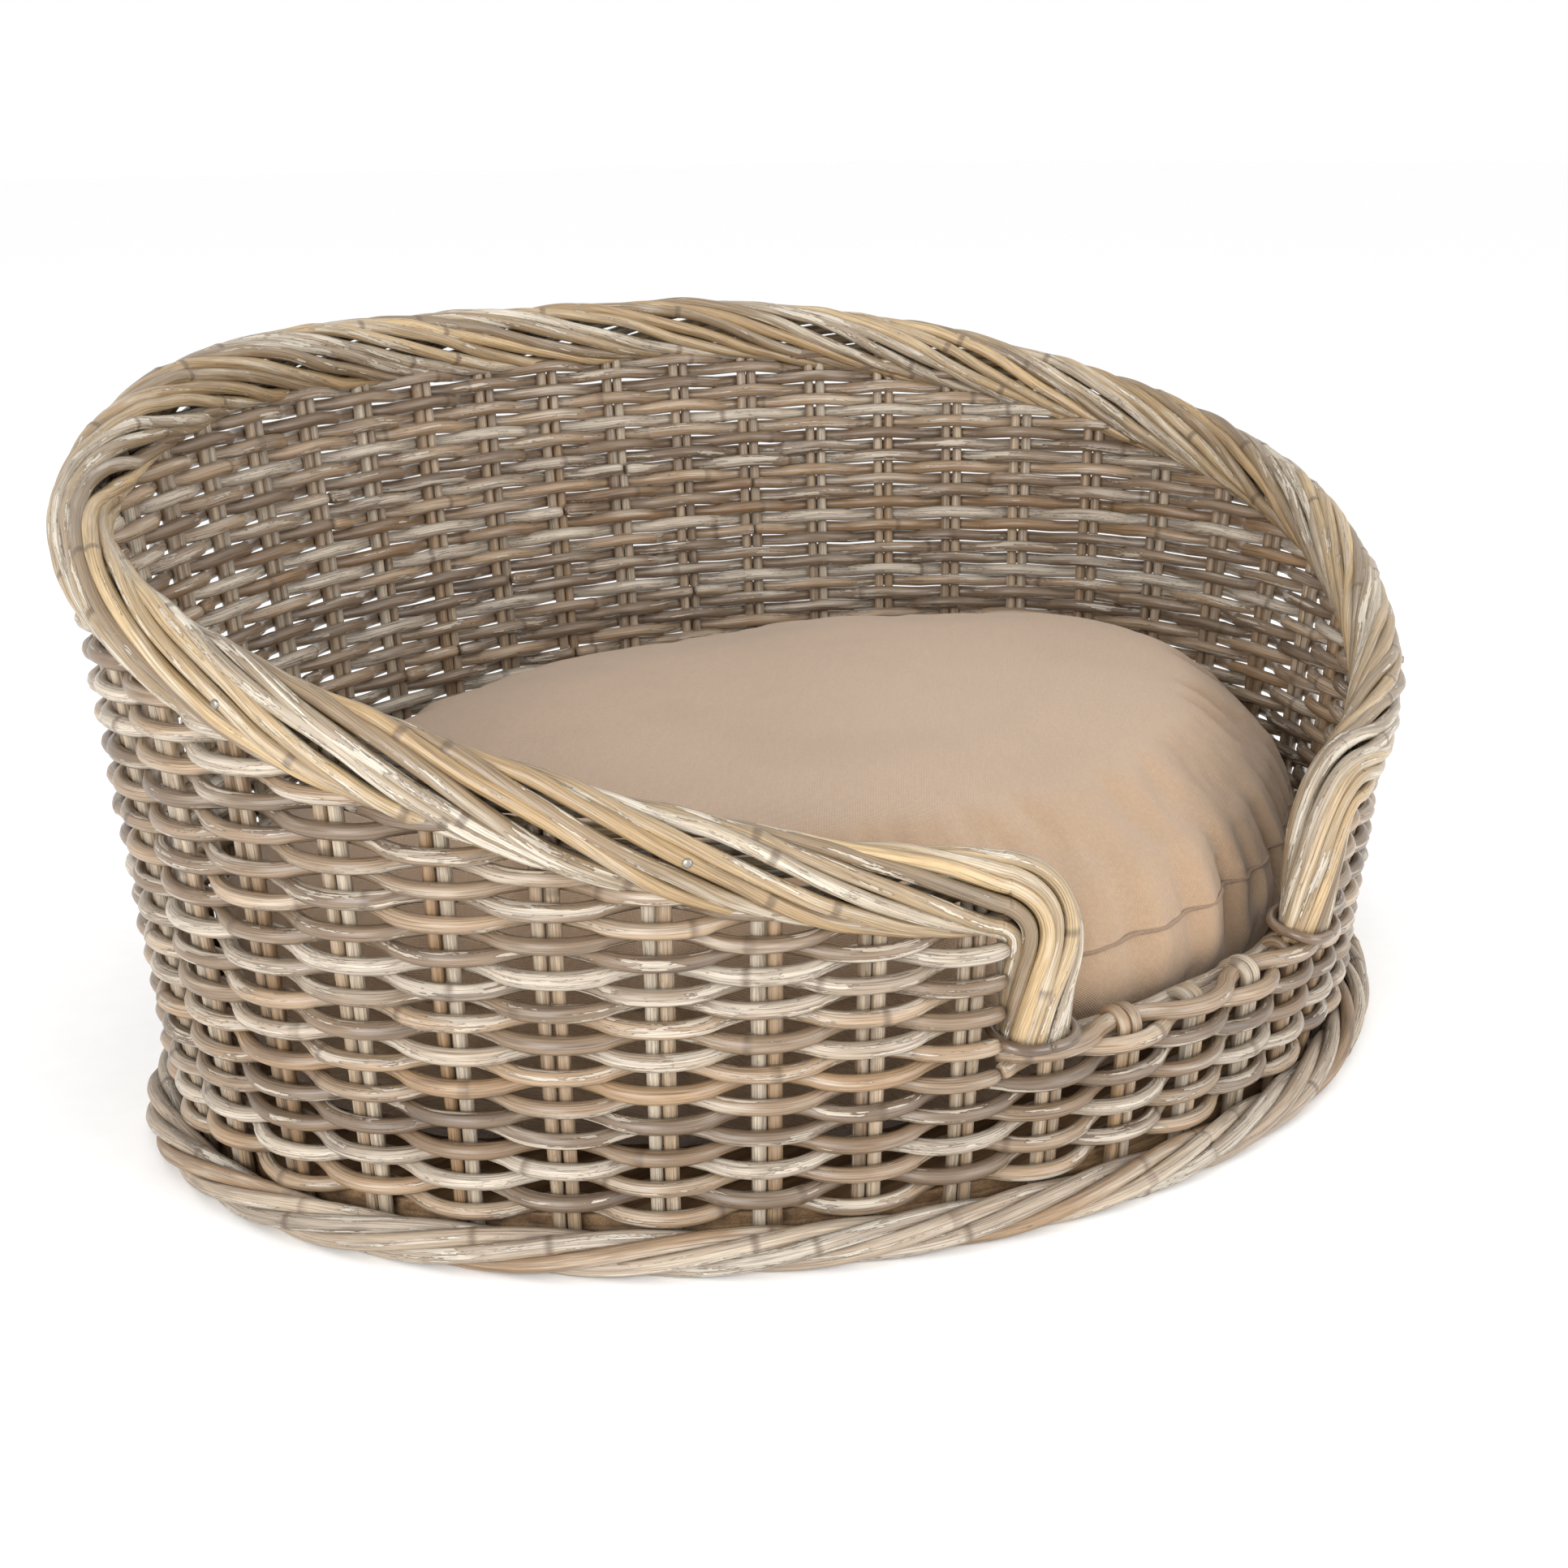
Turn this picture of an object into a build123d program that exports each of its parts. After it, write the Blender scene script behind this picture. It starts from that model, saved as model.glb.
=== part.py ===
"""Oval rattan pet bed: a woven wall with a low entry, twisted borders and a loose zipped cushion."""
from build123d import *
from math import atan2, cos, degrees, pi, radians, sin, tan
import os

# ---- Driving dimensions, in mm ----
# Plan of the wall's centre line at the floor: six tangent arcs, long axis along X, entry facing -Y.
half_length = 398.0
depth_back = 296.0
depth_front = 322.0
end_radius_back = 205.0
end_radius_front = 225.0
wall_flare = 0.09  # outward lean of the wall, mm per mm of height

# Paired upright stakes.
pair_count = 44
stake_radius = 3.5
stake_spread = 7.7  # between the axes of the two stakes of one pair
stake_foot = 3.0

# Weavers: one rod per course, over one pair and under the next.
weaver_radius = 3.8
weave_swing = 10.85  # corner of the zigzag, either side of the stakes' line
weave_round = 2.4  # how far a rounded corner of the zigzag stays inside its sharp one
course_pitch = 8.8
first_course = 28.0
course_count = 40
courses_under_entry = 7
courses_per_node = 2
rod_runs = 4  # stake pairs that one rod spans between its hidden ends

# Rim border: eight twisted strands round a hoop, turned down at both sides of the entry.
rim_back = 402.0  # height of the border's centre line
rim_front = 180.0
rim_level_share = 0.12  # share of the half turn that stays level at the back
rim_fall_share = 0.98  # share of the half turn at which the fall ends
entry_half_width = 2.25  # in stake pairs, to the middle of the border
border_strands = 8
border_strand_radius = 4.3
border_half_thickness = 12.5  # across the wall, to the strands' axes
border_half_height = 18.5
border_twist = 15.0  # degrees from one stake pair to the next
border_corner = 30.0
border_bend = 120.0
border_foot = 102.5
hoop_radius = 7.0

# Foot border: a rope of five strands outside the stakes.
foot_strands = 5
foot_strand_radius = 4.0
foot_rope_radius = 7.6  # to the strands' axes
foot_rope_out = 15.8
foot_rope_height = 12.2
foot_turns = 4

# Base.
base_hoop_width = 16.0
base_hoop_height = 16.0
board_thickness = 6.0
stake_gap = 0.5

# Sill across the entry.
sill_rod_height = first_course + courses_under_entry * course_pitch
top_rod_height = sill_rod_height + 17.0
sill_reach = 2.65  # half length of the sill rod, in stake pairs
top_rod_reach = 1.6
loop_radius = 8.4  # of a stake bent over a rod
loop_tail = 8.0
side_start = 2.86  # where the side walls start, in stake pairs

# Bindings that tie the border's two ends.
binding_radius = 2.8
binding_height = 111.0
binding_half_thickness = 20.6
binding_half_width = 26.6
binding_corner = 14.0

# Border nails.
nail_step = 4  # stake pairs
nail_head_radius = 2.4
nail_head_height = 1.0
nail_shank_radius = 0.7
nail_length = 14.0

# Cushion: outline inset from the wall's centre line at each height.
cushion_base = base_hoop_height + board_thickness + 1.5
cushion_profile = (
    (0.0, 92.0),
    (20.0, 45.0),
    (75.0, 23.0),
    (115.0, 21.0),
    (145.0, 48.0),
    (170.0, 108.0),
    (180.0, 180.0),
)
cover_thickness = 1.5
filling_gap = 0.4

# Zip in a sunk placket along the cushion's underside.
placket_length = 500.0
placket_width = 30.0
placket_depth = 6.0
placket_y = 70.0
tape_length = 470.0
tape_width = 26.0
tape_thickness = 0.8
teeth_width = 5.0
teeth_height = 1.6
slider_length = 12.0
slider_width = 9.0
slider_height = 3.3
slider_gap = 0.3
slider_start = -215.0
puller_length = 24.0
puller_width = 6.0
puller_thickness = 1.2
puller_bar = 1.2  # the bar at its end that the slider's lug holds
lug_length = 5.0
lug_width = 2.4
lug_wall = 0.5  # under the puller's bar


# ---- Plan of the wall ----
def long_arc_radius(depth, end_radius):
    """Radius of the long arc that meets the two end arcs smoothly at the given depth."""
    return (half_length**2 - 2 * half_length * end_radius + depth**2) / (2 * (depth - end_radius))


def plan_arcs():
    """Centre, radius, start angle and sweep of each arc, anticlockwise from the middle of the front."""
    front_radius = long_arc_radius(depth_front, end_radius_front)
    back_radius = long_arc_radius(depth_back, end_radius_back)
    front_x = half_length - end_radius_front
    back_x = half_length - end_radius_back
    front_turn = 90 + degrees(atan2(depth_front - front_radius, front_x))
    back_turn = 90 - degrees(atan2(back_radius - depth_back, back_x))
    front_centre = (0, front_radius - depth_front)
    back_centre = (0, depth_back - back_radius)
    return [
        (front_centre, front_radius, -90, front_turn),
        ((front_x, 0), end_radius_front, front_turn - 90, 90 - front_turn),
        ((back_x, 0), end_radius_back, 0, 90 - back_turn),
        (back_centre, back_radius, 90 - back_turn, 2 * back_turn),
        ((-back_x, 0), end_radius_back, 90 + back_turn, 90 - back_turn),
        ((-front_x, 0), end_radius_front, 180, 90 - front_turn),
        (front_centre, front_radius, 270 - front_turn, front_turn),
    ]


arcs = plan_arcs()
perimeter = sum(radius * radians(turn) for _, radius, _, turn in arcs)
pair_pitch = perimeter / pair_count


def wall_point(station, out, height):
    """Point on the wall: station counts stake pairs anticlockwise from the middle of the entry."""
    distance = (station % pair_count) * pair_pitch
    for (centre_x, centre_y), radius, start, turn in arcs:
        if distance <= radius * radians(turn):
            break
        distance -= radius * radians(turn)
    angle = radians(start) + distance / radius
    reach = radius + out + wall_flare * height
    return Vector(centre_x + reach * cos(angle), centre_y + reach * sin(angle), height)


def wall_normal(station):
    """Level outward direction at a station."""
    return (wall_point(station, 1, 0) - wall_point(station, 0, 0)).normalized()


def rim_height(station):
    """Height of the rim border's centre line: level at the back, falling to the entry."""
    from_back = abs((station % pair_count) / (pair_count / 2) - 1)
    share = (from_back - rim_level_share) / (rim_fall_share - rim_level_share)
    share = min(max(share, 0), 1)
    return rim_front + (rim_back - rim_front) * (1 + cos(pi * share)) / 2


def rim_underside(station):
    """Height below which the wall is clear of the sloping rim border."""
    slope = abs(rim_height(station + 0.25) - rim_height(station - 0.25)) / (0.5 * pair_pitch)
    return rim_height(station) - (border_half_height + border_strand_radius) * (1 + slope**2) ** 0.5 - 0.8


# ---- Rods ----
def corner_radii(points, bend):
    """A fillet radius for each inner corner: bend, or less where the two runs are short."""
    radii = []
    for before, corner, after in zip(points, points[1:], points[2:]):
        turn = radians((corner - before).get_angle(after - corner))
        room = 0.45 * min((corner - before).length, (after - corner).length)
        radii.append(min(bend, room / tan(turn / 2)))
    return radii


def weave_radii(points):
    """Fillet radii that round every corner of a weaver by the same depth, however sharply it turns."""
    radii = []
    for before, corner, after in zip(points, points[1:], points[2:]):
        half = radians((corner - before).get_angle(after - corner)) / 2
        room = 0.45 * min((corner - before).length, (after - corner).length)
        radii.append(min(weave_round / (1 / cos(half) - 1), room / tan(half)))
    return radii


def rod(points, radius, bends, closed=False):
    """A round rod along straight runs joined by tangent arcs."""
    with BuildPart() as piece:
        with BuildLine() as path:
            FilletPolyline(*points, radius=bends, close=closed)
        with BuildSketch(Plane(origin=path.line @ 0, z_dir=path.line % 0)):
            Circle(radius)
        sweep()
    return piece.part


def straight_rod(start, end, radius):
    """A round rod with square ends."""
    with BuildPart() as piece:
        with BuildSketch(Plane(origin=start, z_dir=end - start)):
            Circle(radius)
        extrude(amount=(end - start).length)
    return piece.part


def spliced_rods(points, splits, radius):
    """Rods end to end along a route, parted at the given corners by a narrow gap."""
    rods = []
    limits = [0] + list(splits) + [len(points) - 1]
    for first, last in zip(limits, limits[1:]):
        route = list(points[first : last + 1])
        for end, inner, outside in ((0, 1, first - 1), (-1, -2, last + 1)):
            if 0 <= outside < len(points):
                run = (route[inner] - route[end]).normalized()
                turn = radians(180 - (points[outside] - route[end]).get_angle(run))
                route[end] = route[end] + run * (radius * tan(turn / 2) + 0.3)
        bends = weave_radii(route)
        rods.append(rod(route, radius, bends) if bends else straight_rod(route[0], route[-1], radius))
    return rods


def write_node(name, pieces):
    """Join the separate solids of one node, label it and write its STEP file."""
    with BuildPart() as node:
        add(pieces)
    node.part.label = name
    export_step(node.part, f"parts/{name}.step")


# ---- Woven wall ----
def weave_out(station, course):
    """Offset of a weaver from the stakes' line: outside every other pair, inside the rest."""
    low = int(station // 1)
    share = station - low
    side = 1 if (low + course) % 2 == 0 else -1
    return weave_swing * side * (1 - 2 * share)


def course_ends(height):
    """First and last station of a course above the sill, where it meets the entry or the rim."""
    station = side_start
    while rim_underside(station) < height + weaver_radius + 0.4:
        station += 0.02
    if -station % 1 < 0.1:
        station = round(station)
    return station, pair_count - station


def full_course(course):
    """Rods of a course that runs all the way round."""
    height = first_course + course * course_pitch
    start = (1 - course) % 2 + 2 * (course // 2 % 2)
    stations = [start + step for step in range(pair_count + 1)]
    points = [wall_point(station, weave_out(station, course), height) for station in stations]
    rods = []
    for first in range(0, pair_count, rod_runs):
        route = points[first : first + rod_runs + 1]
        for end, inner in ((0, 1), (-1, -2)):
            run = (route[inner] - route[end]).normalized()
            route[end] = route[end] + run * 1.9
        rods.append(rod(route, weaver_radius, weave_radii(route)))
    return rods


def open_course(course):
    """Rods of a course that stops at the entry or under the sloping rim, clear of the stakes there."""
    height = first_course + course * course_pitch
    start, end = course_ends(height)
    stations = [start] + [station for station in range(pair_count) if start < station < end] + [end]
    outs = [weave_out(station, course) for station in stations]
    if stations[1] - start < 0.25:
        outs[0], outs[-1] = outs[1], outs[-2]
    points = [wall_point(station, out, height) for station, out in zip(stations, outs)]
    splits = []
    for index, station in enumerate(stations):
        inside = 2 <= index <= len(stations) - 3 and (station + course) % 2 == 1
        if inside and (not splits or index - splits[-1] >= rod_runs):
            splits.append(index)
    return spliced_rods(points, splits, weaver_radius)


def make_wall():
    """The woven courses, two to a node, from the foot to the rim."""
    for low in range(0, course_count, courses_per_node):
        rods = []
        for course in range(low, low + courses_per_node):
            rods += full_course(course) if course < courses_under_entry else open_course(course)
        write_node(f"weave_courses_{low + 1:02d}_{low + courses_per_node:02d}", rods)


# ---- Stakes ----
def pair_stations(pair):
    """Stations of the two stakes of a pair."""
    half = stake_spread / 2 / pair_pitch
    return pair - half, pair + half


def upright_stake(station):
    """A straight stake from the foot to the underside of the rim border."""
    half = stake_radius / pair_pitch
    top = min(rim_underside(station - half), rim_underside(station + half))
    return straight_rod(wall_point(station, 0, stake_foot), wall_point(station, 0, top), stake_radius)


def looped_stake(station, rod_height):
    """A sill stake, bent inwards over a rod and turned down behind it."""
    top = rod_height + loop_radius
    route = [
        wall_point(station, 0, stake_foot),
        wall_point(station, 0, top),
        wall_point(station, -2 * loop_radius, top),
        wall_point(station, -2 * loop_radius, rod_height - loop_tail),
    ]
    return rod(route, stake_radius, corner_radii(route, loop_radius - 0.1))


def make_stakes():
    """Stake pairs in four groups: entry, right, back and left."""
    entry = []
    for pair in range(-2, 3):
        height = sill_rod_height if pair % 2 == 0 else top_rod_height
        entry += [looped_stake(station, height) for station in pair_stations(pair)]
    write_node("stake_pairs_entry", entry)
    for name, first, last in (("right", 3, 12), ("back", 13, 31), ("left", 32, 41)):
        stakes = [upright_stake(s) for pair in range(first, last + 1) for s in pair_stations(pair)]
        write_node(f"stake_pairs_{name}", stakes)


# ---- Sill ----
def make_sill():
    """The woven sill rod and the top rod that the entry stakes are bent over."""
    stations = [-sill_reach, -2, -1, 0, 1, 2, sill_reach]
    course = courses_under_entry
    points = [wall_point(s, weave_out(s, course), sill_rod_height) for s in stations]
    write_node("sill_rod", [rod(points, weaver_radius, weave_radii(points))])
    stations = [-top_rod_reach, -0.8, 0, 0.8, top_rod_reach]
    points = [wall_point(s, -loop_radius, top_rod_height) for s in stations]
    write_node("sill_top_rod", [rod(points, weaver_radius, corner_radii(points, border_bend))])


# ---- Rim border ----
def rim_route():
    """Corners of the border's centre line and their outward directions, entry side to entry side."""
    last = pair_count - entry_half_width
    stations = [entry_half_width] + [pair + 0.5 for pair in range(3, pair_count - 3)] + [last]
    corners = [wall_point(station, 0, rim_height(station)) for station in stations]
    corners = [wall_point(entry_half_width, 0, border_foot)] + corners + [wall_point(last, 0, border_foot)]
    normals = [wall_normal(station) for station in [entry_half_width] + stations + [last]]
    return corners, normals


def beside_route(corners, normals, offsets):
    """Corners of a line beside a route, at (across, below) offsets that may change along it."""
    runs = [(after - before).normalized() for before, after in zip(corners, corners[1:])]
    points = []
    for index, (corner, normal) in enumerate(zip(corners, normals)):
        before = runs[max(index - 1, 0)].cross(normal).normalized()
        after = runs[min(index, len(runs) - 1)].cross(normal).normalized()
        mitre = (before + after) * (1 / (1 + before.dot(after)))
        across, below = offsets[index]
        points.append(corner + normal * across + mitre * below)
    return points


def border_rods(points, below, splits, radius):
    """Rods along a border route, with each entry corner's bend matched to its place in the border."""
    rods = []
    limits = [0] + splits + [len(points) - 1]
    for first, last in zip(limits, limits[1:]):
        route = list(points[first : last + 1])
        bends = corner_radii(route, border_bend)
        for corner in (1, len(points) - 2):
            if first < corner < last:
                bends[corner - first - 1] = border_corner - below[corner]
        for end, inner, outside in ((0, 1, first - 1), (-1, -2, last + 1)):
            if 0 <= outside < len(points):
                run = (route[inner] - route[end]).normalized()
                route[end] = route[end] + run * 1.2
        rods.append(rod(route, radius, bends))
    return rods


def make_rim():
    """The hoop inside the rim border and the strands twisted round it."""
    corners, normals = rim_route()
    count = len(corners)
    level = [0] * count
    write_node("rim_hoop", border_rods(corners, level, list(range(6, count - 4, 5)), hoop_radius))
    for strand in range(border_strands):
        turns = [radians(360 / border_strands * strand + border_twist * index) for index in range(count)]
        offsets = [(border_half_thickness * cos(turn), border_half_height * sin(turn)) for turn in turns]
        points = beside_route(corners, normals, offsets)
        below = [offset[1] for offset in offsets]
        splits = list(range(3 + strand % 4, count - 3, rod_runs))
        rods = border_rods(points, below, splits, border_strand_radius)
        write_node(f"rim_border_strand_{strand + 1}", rods)


def make_nails():
    """Round-headed nails driven into the border from outside."""
    corners, normals = rim_route()
    strand_step = 360 / border_strands
    pins = []
    for index in range(5, len(corners) - 4, nail_step):
        turn = (border_twist * index) % strand_step
        turn = turn if turn < strand_step / 2 else turn - strand_step
        across = border_half_thickness * cos(radians(turn)) + border_strand_radius - nail_head_height / 2
        below = border_half_height * sin(radians(turn))
        offsets = [(across, below)] * len(corners)
        seat = beside_route(corners, normals, offsets)[index]
        with BuildPart() as nail:
            with BuildSketch(Plane(origin=seat, z_dir=normals[index])):
                Circle(nail_head_radius)
            extrude(amount=nail_head_height)
            fillet(nail.faces().sort_by(Axis(seat, normals[index]))[-1].edges(), nail_head_height * 0.8)
            with BuildSketch(Plane(origin=seat, z_dir=-normals[index])):
                Circle(nail_shank_radius)
            extrude(amount=nail_length)
        pins.append(nail.part)
    write_node("border_nails", pins)


def make_bindings():
    """A cane ring round each turned-down end of the border."""
    for name, middle in (("right", entry_half_width), ("left", pair_count - entry_half_width)):
        half = binding_half_width / pair_pitch
        places = ((-half, 1), (half, 1), (half, -1), (-half, -1))
        route = [wall_point(middle + s, side * binding_half_thickness, binding_height) for s, side in places]
        write_node(f"end_binding_{name}", [rod(route, binding_radius, binding_corner, closed=True)])


# ---- Foot and base ----
def make_foot():
    """The rope of strands round the foot."""
    for strand in range(foot_strands):
        points = []
        for pair in range(pair_count + 1):
            turn = radians(360 / foot_strands * strand + 360 * foot_turns / pair_count * pair)
            out = foot_rope_out + foot_rope_radius * cos(turn)
            points.append(wall_point(pair, out, foot_rope_height + foot_rope_radius * sin(turn)))
        rods = []
        for first in range(0, pair_count, rod_runs):
            route = points[first : first + rod_runs + 1]
            for end, inner in ((0, 1), (-1, -2)):
                run = (route[inner] - route[end]).normalized()
                route[end] = route[end] + run * 1.0
            rods.append(rod(route, foot_strand_radius, corner_radii(route, border_bend)))
        write_node(f"foot_border_strand_{strand + 1}", rods)


def oval(out):
    """Closed outline parallel to the wall's centre line at the floor."""
    with BuildLine() as outline:
        for centre, radius, start, turn in arcs:
            CenterArc(centre, radius + out, start, turn)
    return outline.edges()


def make_base():
    """The flat hoop that the bed stands on, in four lengths, and the board on it."""
    outer = -stake_radius - stake_gap
    with BuildPart() as hoop:
        with BuildSketch():
            make_face(oval(outer))
            make_face(oval(outer - base_hoop_width), mode=Mode.SUBTRACT)
            Rectangle(3 * half_length, 1.5, mode=Mode.SUBTRACT)
            Rectangle(1.5, 3 * depth_front, mode=Mode.SUBTRACT)
        extrude(amount=base_hoop_height)
        top_edges = hoop.edges().group_by(Axis.Z)[-1]
        fillet(top_edges.filter_by(lambda edge: edge.length > 50), 3)
    hoop.part.label = "base_hoop"
    export_step(hoop.part, "parts/base_hoop.step")
    with BuildPart() as board:
        with BuildSketch(Plane.XY.offset(base_hoop_height)):
            make_face(oval(outer))
        extrude(amount=board_thickness)
        fillet(board.edges().group_by(Axis.Z)[-1], 1.5)
    board.part.label = "base_board"
    export_step(board.part, "parts/base_board.step")


# ---- Cushion ----
def cushion_body(inset):
    """Plump oval body through parallel outlines, pulled in by inset, with the zip placket cut out."""
    top = cushion_profile[-1][0]
    with BuildPart() as body:
        for rise, gap in cushion_profile:
            level = cushion_base + inset + rise * (top - 2 * inset) / top
            with BuildSketch(Plane.XY.offset(level)):
                make_face(oval(-gap - inset))
        loft()
        with Locations((0, placket_y, cushion_base)):
            Box(
                placket_length + 2 * inset,
                placket_width + 2 * inset,
                2 * (placket_depth + inset),
                mode=Mode.SUBTRACT,
            )
    return body.part


def make_cushion():
    """The sewn cover as a thin shell, and the filling inside it."""
    with BuildPart() as cover:
        add(cushion_body(0))
        add(cushion_body(cover_thickness), mode=Mode.SUBTRACT)
    cover.part.label = "cushion_cover"
    export_step(cover.part, "parts/cushion_cover.step")
    with BuildPart() as filling:
        add(cushion_body(cover_thickness + filling_gap))
    filling.part.label = "cushion_filling"
    export_step(filling.part, "parts/cushion_filling.step")


def make_zip():
    """The zip's tape with its row of teeth, the slider that runs on them and its puller."""
    ceiling = cushion_base + placket_depth
    teeth_top = ceiling - tape_thickness
    with BuildPart() as tape:
        with Locations((0, placket_y, ceiling)):
            Box(tape_length, tape_width, tape_thickness, align=(Align.CENTER, Align.CENTER, Align.MAX))
        with Locations((0, placket_y, teeth_top)):
            Box(tape_length, teeth_width, teeth_height, align=(Align.CENTER, Align.CENTER, Align.MAX))
        with Locations(*[(side * (tape_length / 2 - 2), placket_y, teeth_top) for side in (-1, 1)]):
            Box(4, teeth_width + 2, teeth_height + 0.6, align=(Align.CENTER, Align.CENTER, Align.MAX))
    tape.part.label = "zip_tape"
    export_step(tape.part, "parts/zip_tape.step")
    slider_top = teeth_top - slider_gap
    slider_end = slider_start + slider_length / 2
    puller_x = slider_end + 1.0
    puller_z = slider_top - slider_height
    with BuildPart() as slider:
        with Locations((slider_start, placket_y, slider_top)):
            Box(slider_length, slider_width, slider_height, align=(Align.CENTER, Align.CENTER, Align.MAX))
        fillet(slider.edges().filter_by(Axis.Z), 2)
        with Locations((slider_start, placket_y, slider_top)):
            Box(
                2 * slider_length,
                teeth_width + 2 * slider_gap,
                2 * teeth_height,
                mode=Mode.SUBTRACT,
            )
        with Locations((slider_end - 0.5, placket_y, puller_z - 0.1 - lug_wall)):
            Box(
                lug_length + 0.5,
                lug_width,
                puller_thickness + 0.6 + lug_wall,
                align=(Align.MIN, Align.CENTER, Align.MIN),
            )
        with Locations((puller_x - 0.2, placket_y, puller_z - 0.1)):
            Box(
                puller_bar + 0.6,
                2 * lug_width,
                puller_thickness + 0.2,
                align=(Align.MIN, Align.CENTER, Align.MIN),
                mode=Mode.SUBTRACT,
            )
    slider.part.label = "zip_slider"
    export_step(slider.part, "parts/zip_slider.step")
    eye_length = lug_length - puller_bar - 0.4
    with BuildPart() as puller:
        with BuildSketch(Plane.XY.offset(puller_z)):
            with Locations((puller_x + puller_length / 2, placket_y)):
                RectangleRounded(puller_length, puller_width, 2)
            with Locations((puller_x + puller_bar + eye_length / 2, placket_y)):
                Rectangle(eye_length, lug_width + 1, mode=Mode.SUBTRACT)
        extrude(amount=puller_thickness)
    puller.part.label = "zip_puller"
    export_step(puller.part, "parts/zip_puller.step")


os.makedirs("parts", exist_ok=True)
make_base()
make_foot()
make_stakes()
make_wall()
make_sill()
make_rim()
make_nails()
make_bindings()
make_cushion()
make_zip()
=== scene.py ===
from math import atan2, cos, pi, radians, sin

import bpy
import numpy as np
from mathutils import Matrix, Vector


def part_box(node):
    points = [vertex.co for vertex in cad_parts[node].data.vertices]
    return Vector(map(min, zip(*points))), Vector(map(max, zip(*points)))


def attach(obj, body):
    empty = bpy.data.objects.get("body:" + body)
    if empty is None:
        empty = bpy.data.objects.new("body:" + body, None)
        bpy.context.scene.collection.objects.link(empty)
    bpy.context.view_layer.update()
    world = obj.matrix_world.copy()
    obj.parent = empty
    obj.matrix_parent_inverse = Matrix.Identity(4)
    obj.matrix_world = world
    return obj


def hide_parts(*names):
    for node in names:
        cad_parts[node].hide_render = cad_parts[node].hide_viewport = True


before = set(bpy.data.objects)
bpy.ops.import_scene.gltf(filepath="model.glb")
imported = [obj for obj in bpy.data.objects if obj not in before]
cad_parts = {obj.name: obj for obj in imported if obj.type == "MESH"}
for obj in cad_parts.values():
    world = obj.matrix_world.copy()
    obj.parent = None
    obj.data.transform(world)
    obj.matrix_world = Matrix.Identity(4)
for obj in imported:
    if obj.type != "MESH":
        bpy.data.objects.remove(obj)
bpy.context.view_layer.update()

rng = np.random.default_rng(707)

# ---- Sizes, in metres; the plan is read from the base board, the rim from its hoop ----
BOARD_LOW, BOARD_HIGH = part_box("base_board")
_, HOOP_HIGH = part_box("rim_hoop")
COVER_LOW, COVER_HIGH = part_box("cushion_cover")
BOARD_INSET = 0.004
HALF_LENGTH = BOARD_HIGH[0] + BOARD_INSET
DEPTH_BACK = BOARD_HIGH[1] + BOARD_INSET
DEPTH_FRONT = -BOARD_LOW[1] + BOARD_INSET
END_BACK, END_FRONT = 0.205, 0.225
FLARE = 0.09
PAIRS = 44
STAKE_R, STAKE_HALF = 0.0037, 0.00385
WEAVER_R = 0.00450
SWING = 0.0074
WEAVE_LEAN = 0.20  # how far a rod sinks for each metre that it stands outwards
PITCH_Z, FIRST_Z = 0.0088, 0.028
COURSES, UNDER_ENTRY = 40, 7
RIM_BACK, RIM_FRONT = HOOP_HIGH[2] - 0.007, 0.180
RIM_LEVEL, RIM_FALL = 0.12, 0.98
ENTRY = 2.25
SIDE_START = 2.66
SILL_Z = FIRST_Z + UNDER_ENTRY * PITCH_Z
SILL_LOOP_Z = SILL_Z + 0.0016
LOOP_R = 0.0080
BORDER_FOOT = 0.1015
BORDER_A, BORDER_B = 0.0125, 0.0185
BORDER_CORNER = 0.034
BORDER_STRANDS, BORDER_R = 13, 0.0043
TWIST = radians(41)
BINDING_Z, BINDING_R = 0.1085, 0.0029
BINDING_TILT = 0.004
NAIL_COUNT, NAIL_POINTS = 9, 20
NAIL_RINGS = ((-0.003, 0.0024), (0.0002, 0.0024), (0.0006, 0.0020), (0.0009, 0.0012))  # height, radius
NAIL_CROWN = 0.00105
FOOT_OUT, FOOT_Z = 0.0158, 0.0122
FOOT_STRANDS, FOOT_TURNS = 5, 9
FOOT_R, FOOT_ROPE_R = 0.0045, 0.0076


# ---- Plan of the wall ----
def long_radius(depth, end):
    return (HALF_LENGTH**2 - 2 * HALF_LENGTH * end + depth**2) / (2 * (depth - end))


def plan_arcs():
    """Centre, radius, start angle and sweep of each arc, anticlockwise from the middle of the front."""
    fr, br = long_radius(DEPTH_FRONT, END_FRONT), long_radius(DEPTH_BACK, END_BACK)
    fx, bx = HALF_LENGTH - END_FRONT, HALF_LENGTH - END_BACK
    ft = pi / 2 + atan2(DEPTH_FRONT - fr, fx)
    bt = pi / 2 - atan2(br - DEPTH_BACK, bx)
    return [
        (0, fr - DEPTH_FRONT, fr, -pi / 2, ft),
        (fx, 0, END_FRONT, ft - pi / 2, pi / 2 - ft),
        (bx, 0, END_BACK, 0, pi / 2 - bt),
        (0, DEPTH_BACK - br, br, pi / 2 - bt, 2 * bt),
        (-bx, 0, END_BACK, pi / 2 + bt, pi / 2 - bt),
        (-fx, 0, END_FRONT, pi, pi / 2 - ft),
        (0, fr - DEPTH_FRONT, fr, 3 * pi / 2 - ft, ft),
    ]


ARCS = np.array(plan_arcs())
ARC_ENDS = np.cumsum(ARCS[:, 2] * ARCS[:, 4])
PAIR = ARC_ENDS[-1] / PAIRS


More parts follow.
